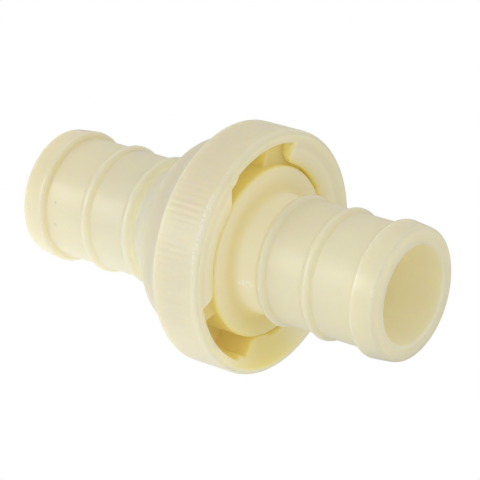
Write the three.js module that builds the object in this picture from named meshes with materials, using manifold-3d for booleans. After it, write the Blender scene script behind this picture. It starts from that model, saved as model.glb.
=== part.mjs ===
// In-line non-return fitting for a 25 mm hose, in two bayonet-locked halves.
// Millimetres. The flow axis is X: the inlet tail points to +X, the outlet tail to -X, and the
// origin is the middle of the fitting on that axis. Angles round the axis are in degrees from +Z
// towards -Y, which is a positive turn about +X.
import * as THREE from 'three';
import { mergeVertices } from 'three/addons/utils/BufferGeometryUtils.js';
import Module from 'manifold-3d';

const wasm = await Module();
wasm.setup();

// Driving dimensions
const LENGTH = 85.2;
const HALF = LENGTH / 2;
const BORE_R = 9.55;
const BARREL_R = 12.05;
const BEAD_R = 12.8;
const BULGE_R = 13.25;
const NECK_R = 11.55;
const NECK_START = 27.45;
const BEADS_FROM_END = [15.9, 26.25];
const BEAD_HALF_WIDTH = 1.15;
const SEGMENTS = 32;
const FINE_SEGMENTS = 24;
const GAP = 0.3;

// Bayonet
const LIPS = 3;
const PITCH = 360 / LIPS;
const COLLAR_R = 23.85;
const COLLAR_BACK = 0.2;
const COLLAR_FRONT = 10.45;
const RECESS_R = 21.35;
const RECESS_FLOOR = 1.9;
const RIM_R = 21.6;
const LIP_BACK = 7.95;
const LIP_FRONT = 9.55;
const LIP_R = 17.3;
const LIP_SPAN = [30, 104.8];
const STOP_SPAN = [30, 61];
const STOP_R = 17.1;
const LUG_SPAN = [-39.5, 1.7];
const LUG_R = 21.0;
const LUG_BACK = 4.4;
const LUG_FRONT = 7.65;

// Flange drum, spigot and seat of the inlet half
const DRUM_R = 16.73;
const DRUM_FRONT = 9.25;
const DRUM_BACK = RECESS_FLOOR + GAP;
const SPIGOT_R = 14.7;
const SPIGOT_END = -1.3;
const GROOVE = { back: -0.4, front: 1.7, r: 13.35 };
const SEAT_X = -2.0;
const SEAT_R = 10.9;

// Chamber of the outlet half
const CHAMBER_R = 15.0;
const THROAT_R = 10.25;
const THROAT = { back: -14.4, front: -12.6 };

// Valve cartridge
const SEAL = { front: SEAT_X - GAP, thickness: 1.5, r: 11.6, hole: 3.2 };
const DISC = { front: SEAL.front - SEAL.thickness - GAP, thickness: 1.5, r: 11.4 };
const DISC_BACK = DISC.front - DISC.thickness - 1.4;
const STEM_R = 1.5;
const STEM_END = -23.5;
const CLIP = { front: -20.9, thickness: 0.6, r: 3.1, groove: 1.05 };
const CUP = { floor: -19.5, back: -20.3, inner: 3.9, outer: 4.7 };
const GUIDE = { front: -12.65, back: -14.3, ringInner: 8.7, ringOuter: 10.05, armWidth: 1.8 };
const SPRING = { r: 3.15, wire: 0.25, turns: 6.5 };

// Helpers

/** A closed manifold solid from a three.js geometry, with its faces turned outwards. */
function solid(geometry) {
  const bare = new THREE.BufferGeometry();
  bare.setAttribute('position', geometry.attributes.position);
  if (geometry.index) bare.setIndex(geometry.index);
  const merged = mergeVertices(bare, 1e-4);
  const corners = merged.attributes.position;
  const all = Array.from(merged.index.array);
  const [a, b, c] = [new THREE.Vector3(), new THREE.Vector3(), new THREE.Vector3()];
  const faces = [];
  let volume = 0;
  for (let i = 0; i < all.length; i += 3) {
    const [p, q, r] = all.slice(i, i + 3);
    if (p === q || q === r || r === p) continue;
    faces.push([p, q, r]);
    a.fromBufferAttribute(corners, p);
    b.fromBufferAttribute(corners, q);
    c.fromBufferAttribute(corners, r);
    volume += a.dot(b.cross(c));
  }
  const outward = volume > 0 ? faces : faces.map(([p, q, r]) => [p, r, q]);
  return new wasm.Manifold(new wasm.Mesh({
    numProp: 3,
    vertProperties: new Float32Array(corners.array),
    triVerts: new Uint32Array(outward.flat()),
  }));
}

/** A solid turned about X from [x, radius] points. The outline closes on itself. */
function turned(points, segments = SEGMENTS) {
  const outline = [...points, points[0]].map(([x, radius]) => new THREE.Vector2(radius, x));
  const geometry = new THREE.LatheGeometry(outline, segments);
  geometry.rotateZ(-Math.PI / 2);
  return solid(geometry);
}

/** A rounded corner: points on the curve from one point to another, pulled to the corner. */
function rounded(from, corner, to, steps = 3) {
  const [start, pull, end] = [from, corner, to].map(([x, r]) => new THREE.Vector2(x, r));
  const curve = new THREE.QuadraticBezierCurve(start, pull, end);
  return curve.getPoints(steps).map((point) => [point.x, point.y]);
}

/** The point at a radius and an angle round X, in the plane of a section. */
function polar(radius, degrees) {
  const angle = THREE.MathUtils.degToRad(degrees + 90);
  return new THREE.Vector2(radius * Math.cos(angle), radius * Math.sin(angle));
}

/** A section, drawn in the YZ plane, pushed along X from one place to another. */
function pushed(shape, back, front, curveSegments = 10) {
  const geometry = new THREE.ExtrudeGeometry(shape, {
    depth: front - back,
    bevelEnabled: false,
    curveSegments,
  });
  const [x, y, z] = [[1, 0, 0], [0, 1, 0], [0, 0, 1]].map((axis) => new THREE.Vector3(...axis));
  geometry.applyMatrix4(new THREE.Matrix4().makeBasis(y, z, x));
  geometry.translate(back, 0, 0);
  return solid(geometry);
}

/** A ring sector between two angles, with its inner corners rounded. */
function sector([start, end], inner, outer, round = 0) {
  const toRadians = (degrees) => THREE.MathUtils.degToRad(degrees + 90);
  const turn = THREE.MathUtils.radToDeg(round / inner);
  const shape = new THREE.Shape();
  shape.moveTo(...polar(outer, start));
  shape.absarc(0, 0, outer, toRadians(start), toRadians(end), false);
  shape.lineTo(...polar(inner + round, end));
  shape.quadraticCurveTo(...polar(inner, end), ...polar(inner, end - turn));
  shape.absarc(0, 0, inner, toRadians(end - turn), toRadians(start + turn), true);
  shape.quadraticCurveTo(...polar(inner, start), ...polar(inner + round, start));
  shape.closePath();
  return shape;
}

/** A copy of a solid turned round the X axis. */
function turnedCopy(body, degrees) {
  return body.rotate([degrees, 0, 0]);
}

/** A named mesh from a manifold solid. */
function mesh(name, body, material) {
  const result = body.getMesh();
  const geometry = new THREE.BufferGeometry();
  geometry.setAttribute('position', new THREE.BufferAttribute(result.vertProperties, 3));
  geometry.setIndex(new THREE.BufferAttribute(result.triVerts, 1));
  geometry.computeVertexNormals();
  const piece = new THREE.Mesh(geometry, material);
  piece.name = name;
  return piece;
}

// Materials
const plastic = (color, roughness) =>
  new THREE.MeshStandardMaterial({ color, roughness, metalness: 0 });
const CREAM = plastic(0xe5dec0, 0.38);
const WHITE = plastic(0xf0efe8, 0.45);
const RUBBER = plastic(0x1c1c1c, 0.7);
const STEEL = new THREE.MeshStandardMaterial({ color: 0xc9cbcc, roughness: 0.25, metalness: 1 });

// Hose tail, shared by both halves

/** The outline of a hose tail from its mouth to its neck. Inward is -1 for the +X tail. */
function hoseTail(inward) {
  const at = (distance, radius) => [inward * (distance - HALF), radius];
  const bead = (middle) => [
    at(middle - BEAD_HALF_WIDTH, BARREL_R),
    at(middle - 0.6, BEAD_R - 0.2),
    at(middle, BEAD_R),
    at(middle + 0.6, BEAD_R - 0.2),
    at(middle + BEAD_HALF_WIDTH, BARREL_R),
  ];
  return [
    ...rounded(at(0.6, BORE_R), at(0, BORE_R), at(0, BORE_R + 0.6)),
    ...rounded(at(0, BULGE_R - 1.3), at(0, BULGE_R - 0.5), at(1, BULGE_R - 0.4)),
    at(3.6, BULGE_R),
    at(4.9, BULGE_R - 0.1),
    at(5.5, BARREL_R + 0.5),
    at(5.75, BARREL_R),
    ...BEADS_FROM_END.flatMap(bead),
    at(NECK_START, NECK_R),
  ];
}

// Outlet half: tail, domed chamber and bayonet collar in one moulding

function outletBody() {
  const dome = [
    [-14.2, NECK_R + 0.15],
    [-13.2, 12.5],
    [-9.8, 14.8],
    [-8.3, 16.8],
    [-7.0, 18.5],
    [-5.4, 19.4],
    [-3.4, 20.2],
    [-1.7, 21.3],
    [-0.5, 22.6],
  ];
  const collar = [
    [COLLAR_BACK, COLLAR_R - 0.35],
    [COLLAR_BACK + 0.35, COLLAR_R],
    ...rounded([COLLAR_FRONT - 1, COLLAR_R], [COLLAR_FRONT, COLLAR_R], [COLLAR_FRONT, COLLAR_R - 1]),
    [COLLAR_FRONT - 0.25, RIM_R],
    [COLLAR_FRONT - 0.5, RECESS_R],
    [RECESS_FLOOR, RECESS_R],
  ];
  const chamber = [
    [RECESS_FLOOR, CHAMBER_R + 0.5],
    [RECESS_FLOOR - 0.5, CHAMBER_R],
    [-6.2, CHAMBER_R],
    [-7.3, 14.7],
    [-8.6, 13.9],
    [-10.2, 12.4],
    [-11.8, 10.9],
    [THROAT.front, THROAT_R],
    [THROAT.back, THROAT_R],
    [THROAT.back, BORE_R],
  ];
  let body = turned([...hoseTail(1), ...dome, ...collar, ...chamber]);
  const lipRing = turned([
    [LIP_BACK, LIP_R - 1],
    [LIP_FRONT, LIP_R - 1],
    [COLLAR_FRONT - 0.25, RIM_R],
    [LIP_BACK, RIM_R],
  ]);
  const lipOutline = sector(LIP_SPAN, LIP_R, RIM_R, 2.8);
  const lip = lipRing.intersect(pushed(lipOutline, LIP_BACK, COLLAR_FRONT));
  const stop = pushed(sector(STOP_SPAN, STOP_R, RIM_R, 1.2), RECESS_FLOOR - GAP, LIP_BACK + GAP);
  for (let i = 0; i < LIPS; i += 1) {
    body = body.add(turnedCopy(lip, i * PITCH));
    body = body.add(turnedCopy(stop, i * PITCH));
  }
  return body;
}

// Inlet half: tail, flange drum with lugs, spigot and seat in one moulding

function inletBody() {
  const flange = [
    ...rounded([DRUM_FRONT + 2.4, NECK_R], [DRUM_FRONT, NECK_R], [DRUM_FRONT, NECK_R + 2.4], 4),
    ...rounded([DRUM_FRONT, DRUM_R - 0.8], [DRUM_FRONT, DRUM_R], [DRUM_FRONT - 0.8, DRUM_R]),
    [DRUM_BACK, DRUM_R],
  ];
  const spigot = [
    [DRUM_BACK, SPIGOT_R],
    [GROOVE.front, SPIGOT_R],
    [GROOVE.front, GROOVE.r],
    [GROOVE.back, GROOVE.r],
    [GROOVE.back, SPIGOT_R],
    [SPIGOT_END + 0.4, SPIGOT_R],
    [SPIGOT_END, SPIGOT_R - 0.4],
    [SPIGOT_END, SEAT_R + 0.5],
    [SEAT_X, SEAT_R],
    [SEAT_X, BORE_R],
  ];
  let body = turned([...hoseTail(-1), ...flange, ...spigot]);
  const lug = pushed(sector(LUG_SPAN, DRUM_R - 0.6, LUG_R), LUG_BACK, LUG_FRONT);
  for (let i = 0; i < LIPS; i += 1) {
    body = body.add(turnedCopy(lug, i * PITCH));
  }
  return body;
}

// Joint seal

function bodyORing() {
  const middle = { x: (GROOVE.back + GROOVE.front) / 2, r: (GROOVE.r + CHAMBER_R) / 2 };
  const [halfWidth, halfHeight] = [0.85, 0.7];
  const sides = 8;
  const section = Array.from({ length: sides }, (_, i) => {
    const angle = (2 * Math.PI * i) / sides;
    return [middle.x + halfWidth * Math.cos(angle), middle.r + halfHeight * Math.sin(angle)];
  });
  return turned(section);
}

// Valve cartridge

function poppet() {
  const stemGroove = { front: CLIP.front + 0.1, back: CLIP.front - CLIP.thickness - 0.1 };
  return turned([
    [SEAL.front, 0],
    [SEAL.front, SEAL.hole - 0.2],
    [DISC.front, SEAL.hole - 0.2],
    [DISC.front, DISC.r],
    [DISC.front - DISC.thickness, DISC.r],
    [DISC_BACK, 6.0],
    [DISC_BACK, 2.4],
    [DISC_BACK - 1.2, 2.2],
    [DISC_BACK - 1.2, STEM_R],
    [stemGroove.front, STEM_R],
    [stemGroove.front, CLIP.groove],
    [stemGroove.back, CLIP.groove],
    [stemGroove.back, STEM_R],
    [STEM_END + 0.5, STEM_R],
    [STEM_END, STEM_R - 0.5],
    [STEM_END, 0],
  ], FINE_SEGMENTS).subtract(screwSolid(0.1));
}

function poppetSeal() {
  const back = SEAL.front - SEAL.thickness;
  return turned([
    [SEAL.front, SEAL.hole],
    [SEAL.front, SEAL.r - 0.3],
    [SEAL.front - 0.3, SEAL.r],
    [back, SEAL.r],
    [back, SEAL.hole],
  ], SEGMENTS);
}

const RETAINER = { back: SEAL.front + GAP, front: SEAL.front + GAP + 1.3, r: 8.3, hole: 1.7 };

function sealRetainer() {
  return turned([
    [RETAINER.back, RETAINER.hole],
    [RETAINER.front, RETAINER.hole],
    [RETAINER.front, RETAINER.r - 2.2],
    [RETAINER.back + 0.5, RETAINER.r],
    [RETAINER.back, RETAINER.r],
  ], SEGMENTS);
}

/** The retainer screw, or with a margin the hole that it cuts in the poppet. */
function screwSolid(margin) {
  const shank = 1.25 + margin;
  const head = { back: RETAINER.front + 0.1, r: 2.6, height: 1.3 };
  return turned([
    [-8.6 - margin, 0],
    [-8.0 - margin, shank],
    [head.back, shank],
    [head.back, head.r],
    [head.back + 0.5 * head.height, head.r - 0.3],
    [head.back + head.height, head.r - 1.5],
    [head.back + head.height, 0],
  ], FINE_SEGMENTS);
}

/** A compression spring with closed ends, wound round the stem. */
function returnSpring() {
  const start = DISC_BACK - SPRING.wire - 0.1;
  const end = CUP.floor + SPRING.wire + 0.1;
  class Coil extends THREE.Curve {
    getPoint(t, target = new THREE.Vector3()) {
      const angle = 2 * Math.PI * SPRING.turns * t;
      const dead = 1 / SPRING.turns;
      const wire = (2 * SPRING.wire + 0.08) / (start - end);
      const reach = t < dead ? (t / dead) * wire
        : t > 1 - dead ? 1 - ((1 - t) / dead) * wire
          : wire + ((t - dead) / (1 - 2 * dead)) * (1 - 2 * wire);
      const x = start + (end - start) * reach;
      return target.set(x, SPRING.r * Math.cos(angle), SPRING.r * Math.sin(angle));
    }
  }
  const section = new THREE.Shape();
  const sides = 6;
  for (let i = 0; i < sides; i += 1) {
    const angle = (2 * Math.PI * i) / sides;
    const place = [SPRING.wire * Math.cos(angle), SPRING.wire * Math.sin(angle)];
    if (i === 0) section.moveTo(...place);
    else section.lineTo(...place);
  }
  section.closePath();
  const steps = Math.round(14 * SPRING.turns);
  return solid(new THREE.ExtrudeGeometry(section, { steps, extrudePath: new Coil() }));
}

function stemGuide() {
  const ring = turned([
    [GUIDE.front, GUIDE.ringInner],
    [GUIDE.front, GUIDE.ringOuter],
    [GUIDE.back, GUIDE.ringOuter],
    [GUIDE.back, GUIDE.ringInner],
  ]);
  const cup = turned([
    [GUIDE.front, CUP.inner],
    [GUIDE.front, CUP.outer],
    [CUP.back, CUP.outer],
    [CUP.back, STEM_R + 0.25],
    [CUP.floor, STEM_R + 0.25],
    [CUP.floor, CUP.inner],
  ], FINE_SEGMENTS);
  const half = GUIDE.armWidth / 2;
  const [inside, outside] = [CUP.outer - 0.3, GUIDE.ringInner + 0.5];
  const arm = new THREE.Shape();
  arm.moveTo(-half, inside);
  arm.lineTo(half, inside);
  arm.lineTo(half, outside);
  arm.lineTo(-half, outside);
  arm.closePath();
  let body = ring.add(cup);
  for (let i = 0; i < 3; i += 1) {
    body = body.add(turnedCopy(pushed(arm, GUIDE.back, GUIDE.front), i * PITCH));
  }
  return body;
}

/** An E-clip: an open washer that snaps into the stem's groove from one side. */
function stemClip() {
  const back = CLIP.front - CLIP.thickness;
  const inner = CLIP.groove + 0.1;
  const mouth = 25;
  return pushed(sector([mouth, 360 - mouth], inner, CLIP.r), back, CLIP.front, 14);
}

const fitting = new THREE.Group();
fitting.add(
  mesh('outlet_body', outletBody(), CREAM),
  mesh('inlet_body', inletBody(), CREAM),
  mesh('body_o_ring', bodyORing(), RUBBER),
  mesh('poppet', poppet(), WHITE),
  mesh('poppet_seal', poppetSeal(), RUBBER),
  mesh('seal_retainer', sealRetainer(), WHITE),
  mesh('retainer_screw', screwSolid(0), STEEL),
  mesh('return_spring', returnSpring(), STEEL),
  mesh('stem_guide', stemGuide(), WHITE),
  mesh('stem_clip', stemClip(), STEEL),
);

export default fitting;
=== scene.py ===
"""In-line non-return hose fitting: two moulded halves in a bayonet, with a sprung valve inside.

Sizes are millimetres, as on a maker's drawing, and meshes are written in metres. The flow axis
is X, with the inlet tail towards +X. Angles round it are degrees from +Z towards -Y.
"""

import logging
import math
from collections.abc import Sequence
from dataclasses import dataclass
from enum import Enum

import bpy
import numpy as np
from mathutils import Matrix, Vector

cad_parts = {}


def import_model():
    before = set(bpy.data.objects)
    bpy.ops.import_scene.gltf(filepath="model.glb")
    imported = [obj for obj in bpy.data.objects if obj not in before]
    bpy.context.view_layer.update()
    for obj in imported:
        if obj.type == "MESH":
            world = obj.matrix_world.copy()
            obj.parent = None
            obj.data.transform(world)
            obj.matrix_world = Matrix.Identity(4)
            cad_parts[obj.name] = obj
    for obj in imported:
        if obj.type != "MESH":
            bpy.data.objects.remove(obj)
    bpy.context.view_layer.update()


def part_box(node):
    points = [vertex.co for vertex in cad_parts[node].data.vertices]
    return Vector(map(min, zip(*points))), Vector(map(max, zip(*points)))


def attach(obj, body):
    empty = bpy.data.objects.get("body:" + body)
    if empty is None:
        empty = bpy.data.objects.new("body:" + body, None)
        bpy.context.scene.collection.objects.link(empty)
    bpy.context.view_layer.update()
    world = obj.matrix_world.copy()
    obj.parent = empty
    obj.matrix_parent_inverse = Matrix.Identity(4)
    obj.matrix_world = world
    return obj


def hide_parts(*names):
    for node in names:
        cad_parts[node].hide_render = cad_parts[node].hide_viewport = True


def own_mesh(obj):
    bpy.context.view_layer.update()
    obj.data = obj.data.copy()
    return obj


log = logging.getLogger("fitting")

MM = 0.001
PITCH = 120.0
CREASE = 34.0

Outline = list[tuple[float, float]]
Colour = tuple[float, float, float]
Place = tuple[float, float, float]
Span = tuple[float, float]


class Body(Enum):
    """The bodies that pieces ride on."""

    OUTLET = "outlet"
    INLET = "inlet"
    VALVE = "valve"


class Slot(Enum):
    """The finishes named in the record."""

    CREAM = "cream_moulding"
    WHITE = "white_moulding"
    RUBBER = "black_rubber"
    STEEL = "stainless_steel"


# Outlines


def bend(start: Sequence[float], pull: Sequence[float], end: Sequence[float], steps: int) -> Outline:
    """A curve from one point to another, pulled to a third.

    Args:
        start: The first point.
        pull: The point that the curve leans to.
        end: The last point.
        steps: How many straight steps the curve is cut in.

    Returns:
        The points, both ends among them.
    """
    first, middle, last = (np.array(point, float) for point in (start, pull, end))
    share = np.linspace(0, 1, steps + 1)[:, None]
    points = (1 - share) ** 2 * first + 2 * share * (1 - share) * middle + share**2 * last
    return [tuple(point) for point in points]


def flowing(points: Outline, steps: int) -> Outline:
    """A smooth curve through all the points.

    Args:
        points: The points to pass through.
        steps: How many steps each stretch between two points is cut in.

    Returns:
        The points of the curve, both ends among them.
    """
    through = np.array(points, float)
    gaps = np.linalg.norm(np.diff(through, axis=0), axis=1)
    slopes = np.diff(through, axis=0) / gaps[:, None]
    leans = np.empty_like(through)
    leans[0], leans[-1] = slopes[0], slopes[-1]
    share = (gaps[1:] / (gaps[:-1] + gaps[1:]))[:, None]
    leans[1:-1] = share * slopes[:-1] + (1 - share) * slopes[1:]
    curve = [tuple(through[0])]
    for i, gap in enumerate(gaps):
        for t in np.linspace(0, 1, steps + 1)[1:]:
            point = (
                (2 * t**3 - 3 * t**2 + 1) * through[i]
                + (t**3 - 2 * t**2 + t) * gap * leans[i]
                + (3 * t**2 - 2 * t**3) * through[i + 1]
                + (t**3 - t**2) * gap * leans[i + 1]
            )
            curve.append(tuple(point))
    return curve


def eased(corners: Outline, radius: float, steps: int = 3, closed: bool = False) -> Outline:
    """An outline with its corners rounded off.

    Args:
        corners: The sharp outline.
        radius: How far from each corner the rounding starts.
        steps: How many steps each rounding has.
        closed: Whether the last point joins the first.

    Returns:
        The rounded outline.
    """
    points = [np.array(corner, float) for corner in corners]
    count = len(points)
    soft: Outline = []
    for i, corner in enumerate(points):
        if not closed and i in (0, count - 1):
            soft.append(tuple(corner))
            continue
        before = points[i - 1] - corner
        after = points[(i + 1) % count] - corner
        reach = min(radius, 0.45 * np.linalg.norm(before), 0.45 * np.linalg.norm(after))
        start = corner + before / np.linalg.norm(before) * reach
        end = corner + after / np.linalg.norm(after) * reach
        soft.extend(bend(start, corner, end, steps))
    return soft


def spread(path: Outline, count: int) -> Outline:
    """Points at even distances along a path.

    Args:
        path: The corners of the path.
        count: How many points to make. The path's first point isn't one of them.

    Returns:
        The points, which end at the path's last point.
    """
    corners = np.array(path, float)
    lengths = np.linalg.norm(np.diff(corners, axis=0), axis=1)
    along = np.concatenate([[0], np.cumsum(lengths)])
    marks = np.linspace(0, along[-1], count + 1)[1:]
    return [tuple(np.interp(mark, along, axis) for axis in corners.T) for mark in marks]


def even(count: int) -> np.ndarray:
    """Angles at even steps round the axis."""
    return np.arange(count) * 360.0 / count


def tinted(colour: Colour, share: float) -> Colour:
    """A colour made paler or darker, and no brighter than white."""
    return tuple(min(1.0, share * channel) for channel in colour)


# Meshes


def stand(name: str, mesh: bpy.types.Mesh) -> bpy.types.Object:
    """Makes an object of a mesh, smooth but for its sharp edges, and puts it in the scene.

    Args:
        name: The object's name.
        mesh: Its mesh.

    Returns:
        The object.
    """
    mesh.shade_smooth()
    mesh.set_sharp_from_angle(angle=math.radians(CREASE))
    piece = bpy.data.objects.new(name, mesh)
    bpy.context.scene.collection.objects.link(piece)
    return piece


@dataclass(frozen=True)
class Ring:
    """One ring of points round the axis: its first point and the angle of each point."""

    first: int
    angles: np.ndarray


class Skin:
    """A closed surface under construction, made of rings round the flow axis."""

    def __init__(self) -> None:
        """Starts with nothing."""
        self.points: list[np.ndarray] = []
        self.depths: list[np.ndarray] = []
        self.faces: list[tuple[int, ...]] = []
        self.count = 0

    def add(self, points: np.ndarray, depth: float | np.ndarray = 0.0) -> int:
        """Adds points.

        Args:
            points: Their places, one row each.
            depth: How deep in a recess they lie, which sets their painted shade and painted glow, from 0
                in the open to 1. Below 0, the wall behind them is thick, less light comes through it,
                and they get a darker painted shade.

        Returns:
            The number of the first one.
        """
        first = self.count
        self.points.append(points)
        self.depths.append(np.broadcast_to(depth, len(points)).astype(float))
        self.count += len(points)
        return first

    def ring(
        self,
        x: float | np.ndarray,
        radius: float | np.ndarray,
        angles: np.ndarray,
        depth: float | np.ndarray = 0.0,
    ) -> Ring:
        """Adds a ring, which is a single point where its radius is 0.

        Args:
            x: Its place along the axis.
            radius: Its radius.
            angles: The angle of each point, rising through one turn.
            depth: How deep in a recess it lies, which sets its painted shade and painted glow.

        Returns:
            The ring.
        """
        if np.ndim(radius) == 0 and radius == 0:
            angles = angles[:1]
        turn = np.radians(angles)
        flat = np.broadcast_to(x, len(angles))
        points = np.stack([flat, -radius * np.sin(turn), radius * np.cos(turn)], axis=1)
        return Ring(self.add(points, depth), angles)

    def join(self, near: Ring, far: Ring) -> None:
        """Fills the band between two rings.

        Where they differ in their number of points, both are followed by angle from the near
        ring's first point, and whichever has the nearer next point takes the next step.

        Args:
            near: One ring.
            far: The ring beside it.
        """
        near_count, far_count = len(near.angles), len(far.angles)
        if near_count == far_count:
            for i in range(near_count):
                after = (i + 1) % near_count
                self.faces.append(
                    (near.first + i, near.first + after, far.first + after, far.first + i)
                )
            return
        near_turns = np.append((near.angles - near.angles[0]) % 360, 360)
        away = (far.angles - near.angles[0]) % 360
        order = np.argsort(away, kind="stable")
        far_turns = np.append(away[order], away[order[0]] + 360)
        i = j = 0
        while (near_count > 1 and i < near_count) or (far_count > 1 and j < far_count):
            here = near.first + i % near_count
            there = far.first + int(order[j % far_count])
            step_near = far_count == 1 or j == far_count
            if not step_near and near_count > 1 and i < near_count:
                step_near = near_turns[i + 1] <= far_turns[j + 1]
            if step_near:
                i += 1
                self.faces.append((here, near.first + i % near_count, there))
            else:
                j += 1
                self.faces.append((here, far.first + int(order[j % far_count]), there))

    def chain(self, rings: Sequence[Ring], closed: bool = False) -> None:
        """Joins each ring to the next.

        Args:
            rings: The rings, in order.
            closed: Whether the last one joins the first.
        """
        for near, far in zip(rings, rings[1:]):
            self.join(near, far)
        if closed:
            self.join(rings[-1], rings[0])

    def turned(
        self, outline: Outline, angles: np.ndarray, depths: float | Sequence | np.ndarray = 0.0
    ) -> list[Ring]:
        """Adds one ring for each point of an outline.

        Args:
            outline: Points of (x, radius).
            angles: The angle of each point of a ring.
            depths: How deep in a recess the rings lie, which sets their painted shade and painted glow:
                one value for all, or one for each.

        Returns:
            The rings.
        """
        if np.ndim(depths) == 0:
            depths = [depths] * len(outline)
        return [self.ring(x, radius, angles, depth) for (x, radius), depth in zip(outline, depths)]

    def swept(self, sections: list[np.ndarray]) -> None:
        """Adds a bar, closed with a flat face at each end.

        Args:
            sections: The corners of each section, in the same order all along.
        """
        sides = len(sections[0])
        starts = [self.add(section) for section in sections]
        for near, far in zip(starts, starts[1:]):
            for i in range(sides):
                after = (i + 1) % sides
                self.faces.append((near + i, near + after, far + after, far + i))
        self.faces.append(tuple(starts[0] + i for i in reversed(range(sides))))
        self.faces.append(tuple(starts[-1] + i for i in range(sides)))

    def piece(self, name: str) -> bpy.types.Object:
        """Makes the object, with its faces pointing out.

        Args:
            name: The object's name.

        Returns:
            The new object, in the scene.
        """
        places = np.concatenate(self.points)
        volume = 0.0
        for face in self.faces:
            first, *rest = (places[corner] for corner in face)
            for second, third in zip(rest, rest[1:]):
                volume += float(np.dot(first, np.cross(second, third)))
        faces = self.faces if volume > 0 else [face[::-1] for face in self.faces]
        mesh = bpy.data.meshes.new(name)
        mesh.from_pydata((places * MM).tolist(), [], faces)
        # The recess value is stored for each point, for the painted shade and glow of the moulded
        # finish.
        layer = mesh.attributes.new("recess", "FLOAT", "POINT")
        layer.data.foreach_set("value", np.concatenate(self.depths).astype(np.float32))
        mesh.update()
        return stand(name, mesh)


# Shader wiring


class Wiring:
    """A node tree, with short ways to add nodes and links."""

    def __init__(self, tree: bpy.types.NodeTree) -> None:
        """Takes the tree that nodes are added to."""
        self.tree = tree

    def node(self, kind: str, values: dict | None = None, **settings) -> bpy.types.Node:
        """Adds a node.

        Args:
            kind: The node's type, without its ShaderNode prefix.
            values: What each input is set to or linked from, by its name or number.
            settings: The node's own settings.

        Returns:
            The node.
        """
        node = self.tree.nodes.new("ShaderNode" + kind)
        for key, value in settings.items():
            setattr(node, key, value)
        self.feed(node, values or {})
        return node

    def feed(self, node: bpy.types.Node, values: dict) -> None:
        """Sets or links a node's inputs.

        Args:
            node: The node.
            values: What each input is set to or linked from, by its name or number.
        """
        for key, value in values.items():
            if isinstance(value, bpy.types.NodeSocket):
                self.tree.links.new(value, node.inputs[key])
            else:
                node.inputs[key].default_value = value

    def place(self) -> bpy.types.NodeSocket:
        """Where on its piece a point of the surface lies, in metres."""
        return self.node("TexCoord").outputs["Object"]

    def drawn_out(self, share: object) -> bpy.types.NodeSocket:
        """The place of a point with its X scaled, so that a texture is drawn out along the axis.

        Args:
            share: What X is multiplied by.

        Returns:
            The changed place.
        """
        parts = self.node("SeparateXYZ", {0: self.place()})
        along = self.math("MULTIPLY", parts.outputs[0], share)
        moved = self.node("CombineXYZ", {0: along, 1: parts.outputs[1], 2: parts.outputs[2]})
        return moved.outputs[0]

    def math(self, operation: str, *terms: object, clamp: bool = False) -> bpy.types.NodeSocket:
        """The result of a sum on sockets and numbers."""
        values = dict(enumerate(terms))
        return self.node("Math", values, operation=operation, use_clamp=clamp).outputs[0]

    def vector(self, operation: str, *terms: object) -> bpy.types.NodeSocket:
        """The result of a sum on places, which is a number for a length or a dot product."""
        node = self.node("VectorMath", dict(enumerate(terms)), operation=operation)
        return node.outputs["Value" if operation in ("LENGTH", "DOT_PRODUCT") else "Vector"]

    def between(self, value: object, low: float, high: float) -> bpy.types.NodeSocket:
        """A smooth step from 0 at the low value to 1 at the high one."""
        values = {"Value": value, "From Min": low, "From Max": high}
        return self.node("MapRange", values, interpolation_type="SMOOTHSTEP").outputs[0]

    def mixed(self, share: object, first: object, second: object) -> bpy.types.NodeSocket:
        """The first colour, changed to the second one by a share.

        Args:
            share: From 0, where all is the first colour, to 1, where all is the second.
            first: A colour or a socket.
            second: A colour or a socket.

        Returns:
            The mixed colour.
        """
        ends = [end if isinstance(end, bpy.types.NodeSocket) else (*end, 1.0) for end in (first, second)]
        return self.node("Mix", {0: share, 6: ends[0], 7: ends[1]}, data_type="RGBA").outputs[2]

    def effect(self, group: bpy.types.NodeTree, values: dict) -> bpy.types.NodeSocket:
        """Places a shared effect with its own values, and gives its output."""
        return self.node("Group", values, node_tree=group).outputs[0]

    def seen_or_lit(self, seen: bpy.types.Node, lit: bpy.types.Node) -> bpy.types.NodeSocket:
        """One shader for what is seen and another for the light that it throws."""
        rays = self.node("LightPath").outputs["Is Camera Ray"]
        return self.node("MixShader", {0: rays, 1: lit.outputs[0], 2: seen.outputs[0]}).outputs[0]


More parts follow.
